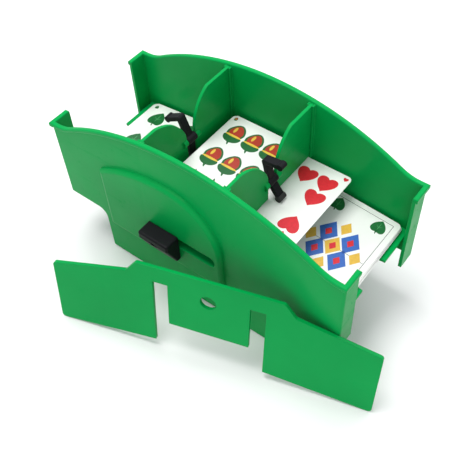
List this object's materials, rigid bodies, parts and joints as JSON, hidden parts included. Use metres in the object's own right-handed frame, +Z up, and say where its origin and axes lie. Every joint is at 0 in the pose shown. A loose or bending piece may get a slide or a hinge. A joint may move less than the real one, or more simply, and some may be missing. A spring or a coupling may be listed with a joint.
{
  "type": "card shuffler",
  "caption": "Hand-worked card shuffler: an arched open trough with a raised deck platform, card gates with hanging levers, sloping trays, a sliding side grip and a separate adapter plate.",
  "frame": {"origin": "middle of the rest face under the base mat", "axes": "+X along the trough to the right, -Y is the side with the grip, +Z up"},
  "size_m": [0.2887, 0.1814, 0.15],
  "materials": {
    "green_plastic": "satin injection-moulded plastic",
    "black_plastic": "satin black plastic",
    "dark_plastic": "plain black plastic",
    "black_rubber": "matte rubber",
    "card_stock": "coated card stock",
    "steel": "plain drawn steel"
  },
  "bodies": {
    "casing": {"front_wall": "green_plastic", "back_wall": "green_plastic", "left_gate_front_wing": "green_plastic", "left_gate_back_wing": "green_plastic", "right_gate_front_wing": "green_plastic", "right_gate_back_wing": "green_plastic", "centre_platform": "green_plastic", "left_tray": "green_plastic", "right_tray": "green_plastic", "base_plate": "green_plastic", "base_mat": "black_rubber", "front_rail": "steel", "back_rail": "steel", "left_lever_pin": "steel", "right_lever_pin": "steel", "wall_screws": "steel", "housing_screws": "steel"},
    "carriage": {"feed_carriage": "dark_plastic", "feed_pads": "black_rubber", "side_grip": "black_plastic", "grip_screw": "steel"},
    "left_lever": {"left_gate_lever": "black_plastic", "left_lever_shoe": "black_rubber"},
    "right_lever": {"right_gate_lever": "black_plastic", "right_lever_shoe": "black_rubber"},
    "adapter": {"adapter_plate": "green_plastic"},
    "deck": {"centre_deck": "card_stock"},
    "left_cards": {"left_packet": "card_stock"},
    "dealt_cards": {"dealt_card": "card_stock"},
    "right_cards": {"right_packet": "card_stock"}
  },
  "joints": [
    {"name": "carriage_slide", "type": "slide", "parent": "casing", "child": "carriage", "axis": [1, 0, 0], "range_m": [0, 0.04]},
    {"name": "left_lever_swing", "type": "hinge", "parent": "casing", "child": "left_lever", "pos_m": [-0.036, 0, 0.111], "axis": [0, 1, 0], "range_deg": [0, 60]},
    {"name": "right_lever_swing", "type": "hinge", "parent": "casing", "child": "right_lever", "pos_m": [0.036, 0, 0.111], "axis": [0, -1, 0], "range_deg": [0, 25]},
    {"name": "adapter_lift", "type": "slide", "parent": "casing", "child": "adapter", "axis": [0, 0, 1], "range_m": [0, 0.15]},
    {"name": "deck_lift", "type": "slide", "parent": "casing", "child": "deck", "axis": [0, 0, 1], "range_m": [0, 0.08]},
    {"name": "left_packet_lift", "type": "slide", "parent": "casing", "child": "left_cards", "axis": [-0.15, 0, 0.9887], "range_m": [0, 0.08]},
    {"name": "dealt_card_slide", "type": "slide", "parent": "casing", "child": "dealt_cards", "axis": [1, 0, 0], "range_m": [-0.045, 0.04]},
    {"name": "right_packet_lift", "type": "slide", "parent": "casing", "child": "right_cards", "axis": [0.15, 0, 0.9887], "range_m": [0, 0.015]}
  ]
}
